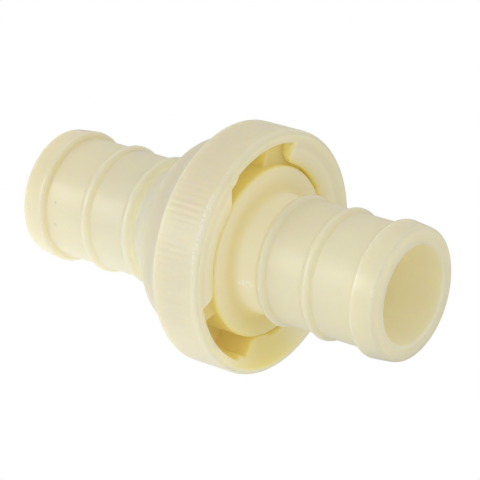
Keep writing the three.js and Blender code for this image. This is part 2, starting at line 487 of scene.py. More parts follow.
class Effects:
    """Surface effects that several finishes share, each one a node group."""

    def __init__(self) -> None:
        """Builds every effect once."""
        self.mottle = self._mottle()
        self.specks = self._specks()
        self.grain = self._grain()
        self.scuffs = self._scuffs()

    @staticmethod
    def _group(
        name: str, inputs: dict[str, float | tuple], outputs: Sequence[str]
    ) -> tuple[bpy.types.NodeTree, Wiring, bpy.types.Node, bpy.types.Node]:
        """Starts a node group.

        Args:
            name: The group's name.
            inputs: Each input's name and value. A value of three numbers is a place.
            outputs: The names of the values that it gives.

        Returns:
            The group, its wiring, its input node and its output node.
        """
        group = bpy.data.node_groups.new(name, "ShaderNodeTree")
        for key, value in inputs.items():
            kind = "NodeSocketVector" if isinstance(value, tuple) else "NodeSocketFloat"
            socket = group.interface.new_socket(key, in_out="INPUT", socket_type=kind)
            socket.default_value = value
        for key in outputs:
            group.interface.new_socket(key, in_out="OUTPUT", socket_type="NodeSocketFloat")
        source = group.nodes.new("NodeGroupInput")
        target = group.nodes.new("NodeGroupOutput")
        return group, Wiring(group), source, target

    def _mottle(self) -> bpy.types.NodeTree:
        """Slow, cloudy variation of a moulded colour, from 0 to 1.

        Returns:
            The node group.
        """
        group, wiring, source, target = self._group(
            "moulding_mottle", {"Scale": 60.0, "Stretch": 1.0}, ["Cloud"]
        )
        noise = wiring.node(
            "TexNoise",
            {
                "Vector": wiring.drawn_out(source.outputs["Stretch"]),
                "Scale": source.outputs["Scale"],
                "Detail": 3.0,
                "Roughness": 0.45,
            },
        )
        cloud = wiring.between(noise.outputs[0], 0.3, 0.7)
        group.links.new(cloud, target.inputs["Cloud"])
        return group

    def _specks(self) -> bpy.types.NodeTree:
        """Tiny scattered dots of dirt or pigment, from 0 to 1.

        Returns:
            The node group.
        """
        group, wiring, source, target = self._group(
            "pigment_specks", {"Scale": 220.0, "Size": 0.1, "Share": 0.1}, ["Mask"]
        )
        cells = wiring.node(
            "TexVoronoi", {"Vector": wiring.place(), "Scale": source.outputs["Scale"]}
        )
        chance = wiring.node("SeparateColor", {0: cells.outputs["Color"]})
        chosen = wiring.math("LESS_THAN", chance.outputs[0], source.outputs["Share"])
        edge = wiring.math("MULTIPLY", source.outputs["Size"], 0.4)
        room = wiring.math("SUBTRACT", source.outputs["Size"], cells.outputs["Distance"])
        dot = wiring.math("DIVIDE", room, edge, clamp=True)
        strength = wiring.math("MULTIPLY", dot, chance.outputs[1])
        group.links.new(wiring.math("MULTIPLY", strength, chosen), target.inputs["Mask"])
        return group

    def _grain(self) -> bpy.types.NodeTree:
        """Fine relief: the soft ripple of a moulded skin and the drag marks along its axis.

        Returns:
            The node group.
        """
        group, wiring, source, target = self._group(
            "skin_grain", {"Ripple Scale": 300.0, "Mark Scale": 900.0, "Marks": 0.3}, ["Height"]
        )
        ripple = wiring.node(
            "TexNoise",
            {"Vector": wiring.place(), "Scale": source.outputs["Ripple Scale"], "Detail": 2.0},
        )
        marks = wiring.node(
            "TexNoise",
            {"Vector": wiring.drawn_out(0.08), "Scale": source.outputs["Mark Scale"], "Detail": 1.0},
        )
        scored = wiring.math("MULTIPLY", marks.outputs[0], source.outputs["Marks"])
        total = wiring.math("ADD", ripple.outputs[0], scored)
        group.links.new(total, target.inputs["Height"])
        return group

    def _scuffs(self) -> bpy.types.NodeTree:
        """A patch of whitened, broken scuffing round a place, from 0 to 1.

        Returns:
            The node group.
        """
        group, wiring, source, target = self._group(
            "scuff_patch",
            {"Centre": (0.0, 0.0, 0.0), "Reach": (0.002, 0.002, 0.002), "Scale": 1500.0, "Cover": 0.5},
            ["Mask"],
        )
        place = wiring.place()
        away = wiring.vector("SUBTRACT", place, source.outputs["Centre"])
        distance = wiring.vector("LENGTH", wiring.vector("DIVIDE", away, source.outputs["Reach"]))
        near = wiring.between(distance, 1.0, 0.55)
        noise = wiring.node(
            "TexNoise",
            {"Vector": place, "Scale": source.outputs["Scale"], "Detail": 4.0, "Roughness": 0.7},
        )
        bar = wiring.math("SUBTRACT", 1.0, source.outputs["Cover"])
        rough = wiring.math("SUBTRACT", noise.outputs[0], bar)
        broken = wiring.math("MULTIPLY", rough, 9.0, clamp=True)
        group.links.new(wiring.math("MULTIPLY", near, broken), target.inputs["Mask"])
        return group


# Finishes


def blank_material(name: str) -> tuple[bpy.types.Material, Wiring, bpy.types.Node]:
    """A new material with one Principled shader.

    Args:
        name: The material's name.

    Returns:
        The material, its wiring and its shader.
    """
    material = bpy.data.materials.new(name)
    material.use_nodes = True
    wiring = Wiring(material.node_tree)
    shader = material.node_tree.nodes["Principled BSDF"]
    return material, wiring, shader


@dataclass(frozen=True)
class Scuff:
    """A whitened scuff: its centre and reach in metres, how much is broken, and its grain."""

    centre: Place
    reach: Place
    cover: float = 0.5
    scale: float = 1500.0


@dataclass(frozen=True)
class Moulding:
    """A moulded plastic that light soaks into.

    The mesh's recess value sets its painted shade and painted glow. It is 0 in the open, rises to 1 deep
    in a recess, and falls below 0 where the wall is thick. The warm and deep tones are painted shade,
    darker and more golden in the recesses and darker over thick walls, and the faint glow is painted
    light given off as emission; they stand for the light that the plastic passes on inside its recesses.
    """

    name: str
    colour: Colour
    # The next four colours are painted: two shade tones for recesses, then two glow colours given off as
    # emission.
    warm: Colour
    deep: Colour
    glow: Colour = (0.0, 0.0, 0.0)
    deep_painted_glow: Colour = (0.0, 0.0, 0.0)
    speck_colour: Colour = (0.22, 0.17, 0.09)
    scuff_colour: Colour = (0.95, 0.94, 0.9)
    pale_tint: float = 1.03
    dull_tint: float = 0.955
    # Painted shade: how much darker the colour is over thick walls.
    thick_shade_tint: float = 0.87
    roughness: float = 0.48
    roughness_spread: float = 0.08
    polished: float = 0.13
    edge_polish: float = 0.5
    end_polish: float = 0.7
    end_x: float = 0.0365
    coat: float = 0.1
    translucency: float = 1.0
    soak: float = 0.007
    speck_share: float = 0.05
    # Spans of the recess value over which the painted shade and the painted glow come in.
    shade_warm_span: Span = (0.12, 0.6)
    shade_deep_span: Span = (0.45, 1.0)
    painted_glow_span: Span = (0.0, 0.15)
    edge_span: Span = (0.507, 0.518)
    scuffs: tuple[Scuff, ...] = ()

    def tone(self, wiring: Wiring, cloud: object, recess: object) -> bpy.types.NodeSocket:
        """The plastic's own colour by its mottle, with painted shade added by how deep it lies.

        Args:
            wiring: The material's wiring.
            cloud: The mottle, from 0 to 1.
            recess: How deep the surface lies, which sets the painted shade.

        Returns:
            The colour, painted shade included.
        """
        dull, pale = tinted(self.colour, self.dull_tint), tinted(self.colour, self.pale_tint)
        tone = wiring.mixed(cloud, dull, pale)
        # Painted shade: darker over thick walls, then warm and deep golden tones further into a recess.
        thick = wiring.between(recess, 0.0, -1.0)
        tone = wiring.mixed(thick, tone, tinted(self.colour, self.thick_shade_tint))
        tone = wiring.mixed(wiring.between(recess, *self.shade_warm_span), tone, self.warm)
        return wiring.mixed(wiring.between(recess, *self.shade_deep_span), tone, self.deep)

    def light(self, wiring: Wiring, recess: object) -> bpy.types.NodeSocket:
        """The painted glow of a recess, given off as emission and black in the open.

        Args:
            wiring: The material's wiring.
            recess: How deep the surface lies, which sets the painted glow.

        Returns:
            The colour of the painted glow.
        """
        inner = wiring.mixed(wiring.between(recess, *self.shade_warm_span), self.glow, self.deep_painted_glow)
        return wiring.mixed(wiring.between(recess, *self.painted_glow_span), (0.0, 0.0, 0.0), inner)

    def polish(self, wiring: Wiring, recess: object) -> bpy.types.NodeSocket:
        """How far the surface is rubbed bright: on its outer edges and on the end bulges.

        Args:
            wiring: The material's wiring.
            recess: How deep the surface lies.

        Returns:
            The share of polish, from 0 to 1.
        """
        bulge = wiring.node("NewGeometry").outputs["Pointiness"]
        convex = wiring.between(bulge, *self.edge_span)
        edges = wiring.math("MULTIPLY", convex, wiring.between(recess, -0.2, 0.0))
        parts = wiring.node("SeparateXYZ", {0: wiring.place()})
        away = wiring.math("ABSOLUTE", parts.outputs[0])
        ends = wiring.between(away, self.end_x, self.end_x + MM)
        ends = wiring.math("MULTIPLY", ends, wiring.between(recess, 0.09, 0.02))
        edges = wiring.math("MULTIPLY", edges, self.edge_polish)
        return wiring.math("MAXIMUM", edges, wiring.math("MULTIPLY", ends, self.end_polish))

    def build(self, effects: Effects) -> bpy.types.Material:
        """Makes the material.

        Args:
            effects: The shared surface effects.

        Returns:
            The material.
        """
        material, wiring, shader = blank_material(self.name)
        cloud = wiring.effect(effects.mottle, {"Scale": 45.0, "Stretch": 0.6})
        # The recess value drives the painted shade in the base colour and the painted glow in the
        # emission.
        recess = wiring.node("Attribute", attribute_name="recess").outputs["Fac"]
        skin = self.tone(wiring, cloud, recess)
        specks = wiring.effect(
            effects.specks, {"Scale": 230.0, "Size": 0.11, "Share": self.speck_share}
        )
        skin = wiring.mixed(wiring.math("MULTIPLY", specks, 0.6), skin, self.speck_colour)
        swing = self.roughness_spread
        rough = wiring.math("MULTIPLY_ADD", cloud, swing, self.roughness - swing / 2)
        polish = self.polish(wiring, recess)
        rough = wiring.math("MULTIPLY_ADD", polish, self.polished - self.roughness, rough)
        height = wiring.effect(
            effects.grain, {"Ripple Scale": 420.0, "Mark Scale": 1500.0, "Marks": 0.35}
        )
        for scuff in self.scuffs:
            sizes = {"Centre": scuff.centre, "Reach": scuff.reach}
            mask = wiring.effect(
                effects.scuffs, {**sizes, "Scale": scuff.scale, "Cover": scuff.cover}
            )
            skin = wiring.mixed(wiring.math("MULTIPLY", mask, 0.85), skin, self.scuff_colour)
            rough = wiring.math("MULTIPLY_ADD", mask, 0.2, rough)
            height = wiring.math("MULTIPLY_ADD", mask, 1.6, height)
        bump = wiring.node("Bump", {"Height": height, "Strength": 0.16, "Distance": 0.0001})
        wiring.feed(
            shader,
            {
                "Base Color": skin,
                "Roughness": rough,
                "Normal": bump.outputs[0],
                "Emission Color": self.light(wiring, recess),
                "Emission Strength": 1.0,
                "Subsurface Weight": self.translucency,
                "Subsurface Radius": (1.0, 0.82, 0.42),
                "Subsurface Scale": self.soak,
                "IOR": 1.48,
                "Coat Weight": self.coat,
                "Coat Roughness": 0.07,
            },
        )
        return material


@dataclass(frozen=True)
class PlainFinish:
    """A finish that keeps light out: two mottled tones over a fine relief."""

    name: str
    colour: Colour
    other_colour: Colour
    mottle: dict[str, float]
    grain: dict[str, float]
    relief: dict[str, float]
    roughness: float
    roughness_spread: float
    metallic: float = 0.0

    def build(self, effects: Effects) -> bpy.types.Material:
        """Makes the material.

        Args:
            effects: The shared surface effects.

        Returns:
            The material.
        """
        material, wiring, shader = blank_material(self.name)
        cloud = wiring.effect(effects.mottle, self.mottle)
        height = wiring.effect(effects.grain, self.grain)
        bump = wiring.node("Bump", {"Height": height, **self.relief})
        rough = wiring.math("MULTIPLY_ADD", cloud, self.roughness_spread, self.roughness)
        colour = wiring.mixed(cloud, self.colour, self.other_colour)
        sockets = {"Base Color": colour, "Roughness": rough, "Normal": bump.outputs[0]}
        wiring.feed(shader, {**sockets, "Metallic": self.metallic})
        return material


# Sub-assemblies


def fit(piece: bpy.types.Object, body: Body, material: bpy.types.Material) -> None:
    """Dresses a piece, puts it on its body and lets it stand for the node of the same name.

    Args:
        piece: The piece, named for its node with _moulded after it.
        body: The body that it rides on.
        material: The material that it wears.
    """
    piece.data.materials.append(material)
    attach(piece, body.value)
    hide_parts(piece.name.removesuffix("_moulded"))
    log.info("%s: %d faces on body %s", piece.name, len(piece.data.polygons), body.value)


@dataclass(frozen=True)
class HoseTail:
    """The ribbed tail at each end: an end bulge and two beads on a plain barrel."""

    half_length: float
    bore_r: float = 9.55
    barrel_r: float = 12.05
    bulge_r: float = 13.25
    bead_r: float = 12.8
    bead_half_width: float = 1.15
    beads_from_end: tuple[float, float] = (15.9, 26.25)
    neck_r: float = 11.55
    mouth_ease: float = 0.6

    def bead(self, middle: float, stop: float) -> Outline:
        """One rounded bead, soft at its foot.

        Args:
            middle: How far its crest is from the mouth.
            stop: Where it is cut on its inner side, in half widths from the crest.

        Returns:
            Points of (distance from the mouth, radius).
        """
        marks = np.linspace(-1.3, stop, 8 + round(5 * stop))
        swell = np.cos(0.5 * np.pi * marks)
        swell = (swell + np.sqrt(swell**2 + 0.02)) / 2
        height = self.bead_r - self.barrel_r
        return [
            (middle + self.bead_half_width * mark, self.barrel_r + height * lift)
            for mark, lift in zip(marks, swell)
        ]

    def outline(self, inward: int) -> Outline:
        """The tail from its mouth to its neck.

        Args:
            inward: 1 for the tail that points to -X, -1 for the one that points to +X.

        Returns:
            Points of (x, radius).
        """
        ease, top, barrel = self.mouth_ease, self.bulge_r, self.barrel_r
        first, second = self.beads_from_end
        last = self.bead(second, 0.85)
        mouth = bend((ease, self.bore_r), (0, self.bore_r), (0, self.bore_r + ease), 5)
        nose = bend((0, top - 2.5), (0, top - 1.0), (0.6, top - 0.56), 7)
        rise = bend((0.7, top - 0.51), (0.9, top - 0.42), (1.3, top - 0.38), 4)
        land = bend((3.0, top - 0.18), (4.6, top), (4.75, top), 3)
        shoulder = bend((4.85, top), (5.3, top - 0.02), (5.5, top - 0.5), 5)
        fall = bend((5.62, top - 0.85), (5.7, barrel), (6.3, barrel), 4)
        neck = bend(last[-1], (second + 1.2, self.neck_r), (second + 1.65, self.neck_r), 5)[1:]
        tail = [*mouth, (0, top - 2.9), *nose, *rise, *land, *shoulder, *fall, (10.0, barrel)]
        tail += [*self.bead(first, 1.3), (21.0, barrel), *last, *neck]
        return [(inward * (distance - self.half_length), radius) for distance, radius in tail]


def tail_glow(outline: Outline) -> list[float]:
    """The recess value of each ring of a tail, which gives it a painted glow: a little at its mouth and
    beside the collar.

    Args:
        outline: The tail's outline, from its mouth to its neck.

    Returns:
        One recess value for each point.
    """
    reach = np.linspace(0, 1, len(outline))
    return list(np.interp(reach, [0, 0.15, 0.22, 0.9, 0.96, 1], [0.1, 0.1, 0.0, 0.0, 0.12, 0.12]))


@dataclass
class OutletHalf:
    """The half with the domed chamber and the knurled bayonet collar.

    Round shaded_angle, on its lower side, its front gets painted shade: the tone of a deeper recess, for
    the shade that falls there.
    """

    tail: HoseTail
    collar_r: float
    collar_front: float
    around: int = 192
    ribs: int = 114
    rib_columns: int = 8
    rib_depth: float = 0.055
    seam_angle: float = 54.0
    seam_height: float = 0.025
    burr_angle: float = 66.0
    burr_spread: float = 24.0
    burr_depth: float = 0.11
    rim_r: float = 21.75
    recess_r: float = 21.35
    floor: float = 1.9
    floor_r: float = 16.9
    lip_r: float = 17.3
    stop_r: float = 16.98
    lip_back: float = 7.95
    lip_start: float = 30.5
    stop_end: float = 61.0
    lip_end: float = 104.8
    corner: float = 2.8
    end_round: float = 1.0
    front_rows: tuple[int, int, int, int, int] = (8, 9, 5, 5, 5)
    burr_seed: int = 7
    # Recess values, which set painted shade and painted glow: the chamber, the dome and band darkened
    # over their thick walls, the rim's glow, and the painted shade round shaded_angle.
    chamber_shade_and_glow: float = 0.8
    dome_shade: float = -1.0
    band_shade: float = -0.4
    rim_glow: float = 0.09
    shaded_angle: float = 176.0
    shaded_spread: float = 36.0
    shade: float = 0.55

    def dome(self) -> Outline:
        """The outside of the chamber.

        Returns:
            Points of (x, radius), from the neck to the back of the collar.
        """
        return flowing(
            [
                (-14.7, self.tail.neck_r),
                (-14.2, 11.7),
                (-13.2, 12.5),
                (-9.8, 14.8),
                (-8.3, 16.8),
                (-7.0, 18.5),
                (-5.4, 19.4),
                (-3.4, 20.2),
                (-1.7, 21.3),
                (-0.5, 22.6),
                (0.2, self.collar_r - 0.35),
            ],
            4,
        )

    def chamber(self) -> Outline:
        """The inside of the chamber.

        Returns:
            Points of (x, radius), from the recess floor back to the bore.
        """
        return [
            (self.floor, 16.2),
            (self.floor, 15.6),
            (self.floor - 0.55, 15.0),
            (-6.2, 15.0),
            (-7.3, 14.7),
            (-8.6, 13.9),
            (-10.2, 12.4),
            (-11.8, 10.9),
            (-12.6, 10.25),
            (-14.2, 10.25),
            (-14.4, 10.0),
            (-14.4, self.tail.bore_r + 0.1),
            (-14.6, self.tail.bore_r),
        ]

    def band(self, skin: Skin) -> list[Ring]:
        """The knurled band and the rounded front edge of the collar.

        Args:
            skin: The surface to add to.

        Returns:
            The rings, from the back edge to the collar's front face.
        """
        angles = even(self.ribs * self.rib_columns)
        wave = 0.5 - 0.5 * np.cos(np.radians(self.ribs * angles))
        wave *= 0.85 + 0.15 * np.cos(np.radians(7 * angles + 40))
        seam = np.exp(-(((angles - self.seam_angle) / 0.35) ** 2))
        chance = np.random.default_rng(self.burr_seed)
        damage = np.exp(-(((angles - self.burr_angle) / self.burr_spread) ** 2))
        edge = self.collar_front - 1.0
        rings = []
        rows = [(0.22, 0.33, 0.0), (0.36, 0.13, 0.0), (0.55, 0.03, 0.3), (0.9, 0.0, 1.0)]
        rows += [(4.0, 0.0, 1.0), (7.4, 0.0, 1.0), (8.0, 0.0, 0.8), (8.5, 0.0, 0.35)]
        rows += [(9.0, 0.0, 0.0)]
        for x, inset, share in rows:
            radius = self.collar_r - inset - self.rib_depth * share * wave
            radius = radius - self.seam_height * share * (1 - seam)
            rings.append(skin.ring(x, radius, angles, self.band_shade))
        corner = (self.collar_front, self.collar_r)
        turn = bend((edge, self.collar_r), corner, (self.collar_front, self.collar_r - 1.0), 8)
        # The rounded edge runs from the band's painted shade to the rim's painted glow.
        depths = np.linspace(self.band_shade / 2, self.rim_glow, len(turn))
        for (x, radius), depth in zip(turn, depths):
            share = max(0.0, 1 - abs(x - edge - 0.25) / 0.45)
            nicks = self.burr_depth * damage * share * chance.standard_normal(len(angles))
            rings.append(skin.ring(x, radius - np.abs(nicks), angles, depth))
        return rings

    def lip_edge(self, angle: float) -> float:
        """The inner radius of the opening's outline at an angle within one lip.

        Args:
            angle: The angle, between the lip's start and its end.

        Returns:
            The radius.
        """
        if angle <= self.stop_end:
            step = flowing(
                [
                    (self.lip_start, self.recess_r),
                    (self.lip_start + 1.6, 20.85),
                    (33.8, 20.32),
                    (36.3, 20.38),
                    (38.4, 20.25),
                    (40.2, 19.3),
                    (42.2, 18.1),
                    (44.0, 17.3),
                    (46.0, self.stop_r),
                    (self.stop_end, self.stop_r),
                ],
                6,
            )
            return float(np.interp(angle, [a for a, _ in step], [r for _, r in step]))
        left = math.radians(self.lip_end - angle) * self.lip_r
        if left >= self.corner:
            return self.lip_r
        return self.lip_r + self.corner * (1 - math.sqrt(max(left, 0) / self.corner)) ** 2

    def front_x(self, radius: float) -> float:
        """Where the collar's sloping front face lies at a radius."""
        return self.collar_front - 0.23 - 0.15 * (self.rim_r - radius)

    def front_angles(self) -> np.ndarray:
        """The columns of the collar's front, close together where its outline turns.

        Returns:
            Their angles, rising through one turn.
        """
        corner_turn = math.degrees(self.corner / self.lip_r)
        shares = np.linspace(0, 1, 18)
        one = np.concatenate(
            [
                np.linspace(self.lip_start, 46.0, 30),
                np.linspace(48.0, self.stop_end - 0.1, 7),
                [self.stop_end + 0.1],
                np.linspace(self.stop_end + 2.3, self.lip_end - corner_turn - 2, 13),
                self.lip_end - corner_turn * (1 - shares) ** 2,
                [self.lip_end + 0.06],
                np.linspace(self.lip_end + 2, self.lip_start + PITCH - 1.0, 17),
            ]
        )
        return np.concatenate([one + turn for turn in (0, PITCH, 2 * PITCH)])

    def recess_foot(self) -> Outline:
        """The recess from the foot of its outer wall to the inner edge of its floor.

        Returns:
            Points of (x, radius).
        """
        ease = 0.5
        wall, floor = (self.floor + ease, self.recess_r), (self.floor, self.recess_r - ease)
        return [wall, floor, (self.floor, self.floor_r)]

    def notch_column(self) -> tuple[Outline, list[float]]:
        """The section through a notch, where the wall runs from the rim straight to the floor.

        Returns:
            The points of (x, radius) and how deep in the recess each one lies, which sets its painted
            shade and glow.
        """
        face, edge, under, wall, ground = self.front_rows
        x = self.front_x(self.rim_r)
        down = [(x, self.rim_r), (x - 0.05, 21.58), (x - 0.16, 21.45), (x - 0.35, 21.37)]
        down += [(x - 0.7, self.recess_r), (self.lip_back, self.recess_r)]
        foot = self.recess_foot()
        points = spread(down, face + edge + under)
        points += spread([down[-1], foot[0]], wall)
        points += spread(foot, ground)
        return points, [float(np.clip((10.1 - x) / 6.0, 0, 1)) ** 0.8 for x, _ in points]

    def lip_front(self, here: float, inner: float) -> tuple[Outline, Outline, list[float]]:
        """The front of a lip: its face, and the rounding that leads to its inner edge.

        Args:
            here: The angle, counted from the first lip.
            inner: The radius of the lip's inner edge.

        Returns:
            The points of the face, the corners of the rounding, and how deep in the recess each point
            lies, which sets its painted shade and glow.
        """
        face, edge, *_ = self.front_rows
        soft = min(0.75, 0.6 * (self.rim_r - inner))
        front = self.front_x(inner + soft)
        points = spread([(self.front_x(self.rim_r), self.rim_r), (front, inner + soft)], face)
        # Painted shade on the face, growing towards the inner edge and next to each stop.
        depths = [0.4 * ((self.rim_r - r) / (self.rim_r - self.lip_r)) for _, r in points]
        fade = 0.55 * float(np.clip(1 - (here - self.lip_start) / 13, 0, 1))
        depths = [max(d, fade * min(1, (self.rim_r - r) / 0.8)) for d, (_, r) in zip(depths, points)]
        rounded = bend((front, inner + soft), (front - 0.1, inner), (front - soft, inner), 5)
        return points, rounded, depths + list(np.linspace(0.38, 0.75, edge))

    def stop_column(self, here: float) -> tuple[Outline, list[float]]:
        """The section through a stop, whose inner side runs down to the floor.

        Args:
            here: The angle, counted from the first lip.

        Returns:
            The points of (x, radius) and how deep in the recess each one lies, which sets its painted
            shade and glow.
        """
        _, edge, under, wall, ground = self.front_rows
        inner = self.lip_edge(here)
        points, rounded, depths = self.lip_front(here, inner)
        points += spread([*rounded, (rounded[-1][0] - 0.6, inner)], edge)
        rest = under + wall + ground
        foot = [(self.floor + 0.6, inner), (self.floor + 0.18, inner - 0.18)]
        points += spread([points[-1], *foot, (self.floor, inner - 0.6)], rest)
        return points, depths + list(np.linspace(0.8, 1.0, rest))

    def lip_column(self, here: float) -> tuple[Outline, list[float]]:
        """The section through a lip, with the recess behind it.

        Args:
            here: The angle, counted from the first lip.

        Returns:
            The points of (x, radius) and how deep in the recess each one lies, which sets its painted
            shade and glow.
        """
        face, edge, under, wall, ground = self.front_rows
        inner = self.lip_edge(here)
        points, rounded, depths = self.lip_front(here, inner)
        points += spread([*rounded, (self.lip_back + 0.3, inner), (self.lip_back, inner + 0.3)], edge)
        back_corner = (self.lip_back, self.recess_r)
        foot = self.recess_foot()
        points += spread([points[-1], back_corner], under)
        points += spread([back_corner, foot[0]], wall)
        points += spread(foot, ground)
        left = math.radians(self.lip_end - here) * self.lip_r
        reach = self.end_round
        if left < reach:
            # Near the lip's end its front is drawn back and given painted shade.
            drop = reach - math.sqrt(reach**2 - (reach - left) ** 2)
            for i in range(face + edge):
                x, radius = points[i]
                share = float(np.clip((self.rim_r - radius) / 0.5, 0, 1))
                points[i] = (max(self.lip_back + 0.1, x - drop * share), radius)
                depths[i] = max(depths[i], 0.7 * share * (1 - left / reach))
        return points, depths + [1.0] * (under + wall + ground)

    def column(self, angle: float) -> tuple[Outline, list[float]]:
        """The section of the collar's front at one angle, from the rim to the floor.

        Args:
            angle: The angle round the axis.

        Returns:
            The points of (x, radius) and how deep in the recess each one lies, which sets its painted
            shade and glow.
        """
        here = (angle - self.lip_start) % PITCH + self.lip_start
        if here > self.lip_end:
            return self.notch_column()
        if here <= self.stop_end:
            return self.stop_column(here)
        return self.lip_column(here)

    def front(self, skin: Skin) -> list[Ring]:
        """The collar's front face, lips, stops and recess.

        Args:
            skin: The surface to add to.

        Returns:
            The rings, from the rim to the inner edge of the recess floor.
        """
        angles = self.front_angles()
        # Painted shade on the lower side round shaded_angle, never less than the rim's painted glow.
        lean = (angles % 360 - self.shaded_angle) / self.shaded_spread
        shade = np.maximum(self.rim_glow, self.shade * np.exp(-(lean**2)))
        rings = [skin.ring(self.collar_front - 0.01, self.collar_r - 1.12, angles, shade)]
        for radius in (self.rim_r + 0.45, self.rim_r):
            rings.append(skin.ring(self.front_x(radius), radius, angles, shade))
        columns = [self.column(angle) for angle in angles]
        places = np.array([points for points, _ in columns])
        depths = np.array([depth for _, depth in columns])
        for row in range(places.shape[1]):
            depth = np.maximum(depths[:, row], shade)
            rings.append(skin.ring(places[:, row, 0], places[:, row, 1], angles, depth))
        return rings

    def build(self) -> bpy.types.Object:
        """Makes the whole half as one closed surface.

        Returns:
            The piece.
        """
        skin = Skin()
        angles = even(self.around)
        outside = self.tail.outline(1)
        dome = self.dome()[1:]
        # The dome goes from a painted glow by the neck to a darker painted shade over its thick wall.
        fade = np.interp(np.linspace(0, 1, len(dome)), [0, 0.15, 0.4], [0.11, 0.04, self.dome_shade])
        rings = skin.turned(outside, angles, tail_glow(outside))
        rings += skin.turned(dome, angles, fade)
        rings += self.band(skin)
        rings += self.front(skin)
        rings += skin.turned(self.chamber(), angles, self.chamber_shade_and_glow)
        skin.chain(rings, closed=True)
        return skin.piece("outlet_body_moulded")


@dataclass
class InletHalf:
    """The half with the flange drum, its three lugs, and the spigot that enters the chamber.

    Round shaded_angle, on its lower side, its flange gets painted shade: the tone of a deeper recess,
    for the shade that falls there.
    """

    tail: HoseTail
    around: int = 192
    drum_front: float = 9.25
    drum_r: float = 16.73
    drum_back: float = 2.2
    lug_start: float = -39.5
    lug_end: float = 1.7
    lug_r: float = 21.0
    lug_back: float = 4.4
    lug_front: float = 7.65
    lug_ease: float = 0.8
    lug_ramp: float = 1.9
    lug_rows: int = 28
    foot: float = 1.1
    # Recess values, which set painted shade and painted glow: the lugs and spigot, the bore's glow, and
    # the painted shade round shaded_angle.
    spigot_shade_and_glow: float = 0.8
    bore_glow: float = 0.11
    shaded_angle: float = 170.0
    shaded_spread: float = 36.0
    shade: float = 0.22

    def angles(self) -> np.ndarray:
        """Even columns, with more of them at the ends of the lugs.

        Returns:
            Their angles, rising through one turn.
        """
        near = np.linspace(0, math.degrees(self.lug_ramp / self.lug_r), 12)
        ends = [self.lug_start + near, self.lug_end - near]
        extra = np.concatenate([end + turn for end in ends for turn in (0, PITCH, 2 * PITCH)])
        return np.unique(np.round(np.concatenate([even(self.around), extra % 360]), 3))

    def lug_section(self, angle: float) -> Outline:
        """The drum's side at one angle, which steps out over a lug.

        Args:
            angle: The angle round the axis.

        Returns:
            Points of (x, radius), from the flange towards the spigot.
        """
        here = (angle - self.lug_start) % PITCH
        span = self.lug_end - self.lug_start
        low, high = (self.lug_front + self.foot, self.drum_r), (self.lug_back, self.drum_r)
        if here >= span - 1e-6 or here <= 1e-6:
            return spread([low, high], self.lug_rows)
        left = min(1.0, math.radians(min(here, span - here)) * self.lug_r / self.lug_ramp)
        rise = left**2 * (3 - 2 * left)
        top = self.drum_r + (self.lug_r - self.drum_r) * rise
        front = self.lug_front
        corners = [low, (front, self.drum_r), (front, top), (self.lug_back, top), high]
        return spread(eased(corners, self.lug_ease, 4), self.lug_rows)

    def flange(self) -> tuple[Outline, list[float]]:
        """The flange's front: the fillet at the neck, the flat and the rounded shoulder.

        Returns:
            Points of (x, radius) and how deep each one lies, which sets its painted shade and glow.
        """
        front, neck = self.drum_front, self.tail.neck_r
        fillet = bend((front + 2.6, neck), (front + 0.1, neck), (front, neck + 2.3), 8)
        # A painted glow and shade on the fillet, strongest partway up it.
        fillet_shade_and_glow = [0.14, 0.18, 0.26, 0.34, 0.40, 0.42, 0.42, 0.38, 0.34]
        corner = (front, self.drum_r)
        shoulder = bend((front, self.drum_r - 0.7), corner, (front - 0.7, self.drum_r), 5)
        shoulder_shade_and_glow = np.linspace(0.3, 0.6, len(shoulder))
        outline = [*fillet, (front, self.drum_r - 1.4), *shoulder]
        return outline, [*fillet_shade_and_glow, 0.3, *shoulder_shade_and_glow]

    def spigot(self) -> Outline:
        """The stepped spigot with the groove for its O-ring.

        Returns:
            Points of (x, radius), from the back of the lugs to the bore.
        """
        bore_r = self.tail.bore_r
        steps = [
            (self.lug_back, self.drum_r),
            (self.drum_back, self.drum_r),
            (self.drum_back, 14.7),
            (1.7, 14.7),
            (1.7, 13.35),
            (-0.4, 13.35),
            (-0.4, 14.7),
            (-1.3, 14.7),
            (-1.3, 11.4),
            (-2.0, 10.9),
            (-2.0, bore_r),
            (0.0, bore_r),
        ]
        return eased(steps, 0.18, 2)[1:]

    def build(self) -> bpy.types.Object:
        """Makes the whole half as one closed surface.

        Returns:
            The piece.
        """
        skin = Skin()
        angles = self.angles()
        bore_r = self.tail.bore_r
        outside = self.tail.outline(-1)
        rings = skin.turned(outside, angles, tail_glow(outside))
        flange, depths = self.flange()
        # Painted shade on the flange's lower side round shaded_angle.
        lean = (angles - self.shaded_angle) / self.shaded_spread
        rings += skin.turned(flange, angles, np.add.outer(depths, self.shade * np.exp(-(lean**2))))
        sections = np.array([self.lug_section(angle) for angle in angles])
        for row in range(self.lug_rows):
            x, radius = sections[:, row, 0], sections[:, row, 1]
            rings.append(skin.ring(x, radius, angles, self.spigot_shade_and_glow))
        rings += skin.turned(self.spigot(), angles, self.spigot_shade_and_glow)
        rings += skin.turned([(24.0, bore_r), (34.0, bore_r)], angles, self.bore_glow)
        skin.chain(rings, closed=True)
        return skin.piece("inlet_body_moulded")


@dataclass
class JointSeal:
    """The O-ring round the spigot."""

    middle_x: float = 0.65
    middle_r: float = 14.175
    half_width: float = 0.85
    half_height: float = 0.7
    around: int = 160
    sides: int = 20

    def build(self) -> bpy.types.Object:
        """Makes the ring, a little flattened as it is when fitted.

        Returns:
            The piece.
        """
        skin = Skin()
        turns = np.linspace(0, 2 * np.pi, self.sides, endpoint=False)
        along = self.middle_x + self.half_width * np.cos(turns)
        out = self.middle_r + self.half_height * np.sin(turns)
        section = list(zip(along, out))
        skin.chain(skin.turned(section, even(self.around)), closed=True)
        return skin.piece("body_o_ring_moulded")


